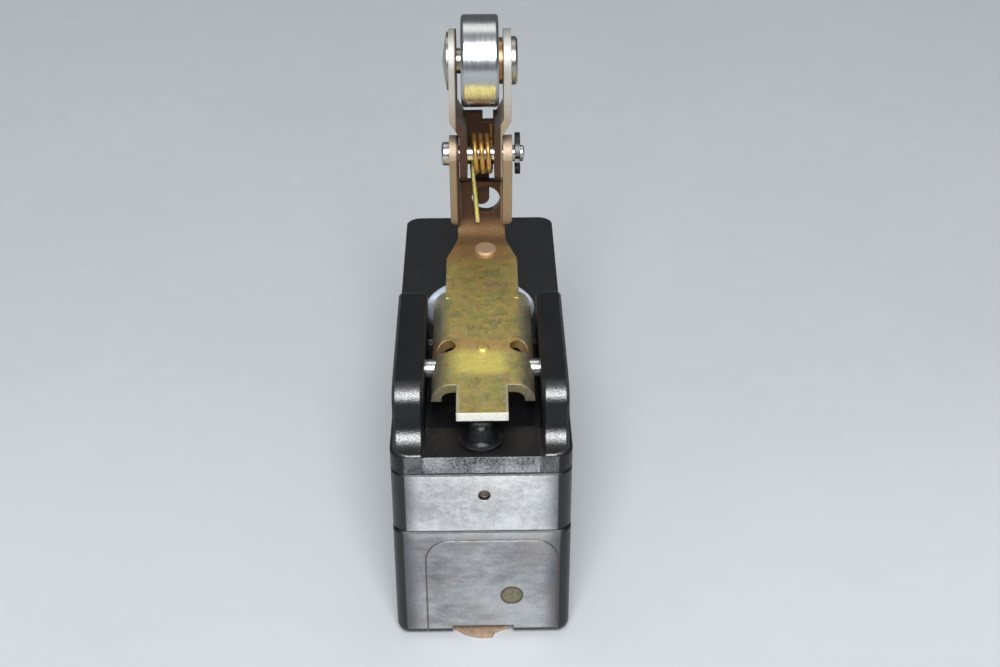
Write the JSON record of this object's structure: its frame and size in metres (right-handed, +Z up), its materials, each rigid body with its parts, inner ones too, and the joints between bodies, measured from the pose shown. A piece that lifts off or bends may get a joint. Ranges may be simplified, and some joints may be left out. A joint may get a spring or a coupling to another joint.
{
  "type": "limit switch",
  "caption": "Hinge roller lever limit switch: black moulded snap-action body, plated lever on a cross pin and a sprung, one-way folding bracket with a steel roller.",
  "frame": {"origin": "middle of the underside of the terminal cover, at floor level", "axes": "+X across the body, +Y along it from the lever's tail to the roller end, +Z up from the underside through the plunger side"},
  "size_m": [0.0174, 0.0496, 0.0537],
  "materials": {
    "black_phenolic": "moulded, fine grain, rubbed on the flat end faces",
    "olive_resin": "matt resin",
    "fibre_sheet": "pressed reddish-brown fibre",
    "plated_screw": "zinc plated",
    "brass_terminal": "stamped brass",
    "silver_contact": "silver alloy",
    "copper_blade": "beryllium copper strip",
    "black_plunger": "smooth moulding",
    "black_rubber": "smooth black rubber",
    "pale_silicone": "smooth milky silicone rubber",
    "steel_pin": "bright turned steel",
    "dark_spring_steel": "oil-blacked",
    "gold_wire": "yellow-passivated spring wire",
    "zinc_chromate": "yellow iridescent passivated zinc",
    "polished_steel": "ground and polished",
    "bronze_bush": "sintered bronze"
  },
  "bodies": {
    "housing": {"terminal_cover": "black_phenolic", "end_plug": "olive_resin", "base_liner": "fibre_sheet", "cover_screws": "plated_screw", "switch_base": "black_phenolic", "case_screws": "plated_screw", "top_cover": "black_phenolic", "tail_stop": "black_rubber", "terminal_com": "brass_terminal", "terminal_nc": "brass_terminal", "terminal_no": "brass_terminal", "terminal_screws": "plated_screw", "terminal_washers": "plated_screw", "fixed_contact_nc": "silver_contact", "fixed_contact_no": "silver_contact", "plunger_seal": "pale_silicone", "lever_pivot_pin": "steel_pin"},
    "lever": {"actuating_lever": "zinc_chromate", "bracket_pivot_pin": "steel_pin", "retaining_ring": "dark_spring_steel", "torsion_spring": "gold_wire"},
    "bracket": {"roller_bracket": "zinc_chromate", "roller_rivet": "steel_pin"},
    "roller_set": {"roller": "polished_steel", "roller_bush": "bronze_bush"},
    "plunger_body": {"plunger": "black_plunger"},
    "blade": {"snap_blade": "copper_blade", "moving_contact": "silver_contact"}
  },
  "joints": [
    {"name": "lever_hinge", "type": "hinge", "parent": "housing", "child": "lever", "pos_m": [0, -0.013, 0.0249], "axis": [-1, 0, 0], "range_deg": [0, 5], "stiffness_Nm_per_rad": 0.07, "springref_deg": -10},
    {"name": "bracket_fold", "type": "hinge", "parent": "lever", "child": "bracket", "pos_m": [0.00024, 0.0069, 0.0392], "axis": [1, 0, 0], "range_deg": [0, 80], "stiffness_Nm_per_rad": 0.01, "springref_deg": -60.16, "deforming": ["torsion_spring"]},
    {"name": "roller_spin", "type": "hinge", "parent": "bracket", "child": "roller_set", "pos_m": [0.00024, 0.0084, 0.049], "axis": [1, 0, 0], "continuous": true},
    {"name": "plunger_slide", "type": "slide", "parent": "housing", "child": "plunger_body", "axis": [0, 0, -1], "range_m": [0, 0.0015]},
    {"name": "blade_hinge", "type": "hinge", "parent": "housing", "child": "blade", "pos_m": [0, -0.0082, 0.0181], "axis": [-1, 0, 0], "range_deg": [0, 7.6]}
  ],
  "couplings": [
    {"joint": "plunger_slide", "follows": "lever_hinge", "m_per_rad": 0.0154},
    {"joint": "blade_hinge", "follows": "lever_hinge", "ratio": 1.5}
  ]
}
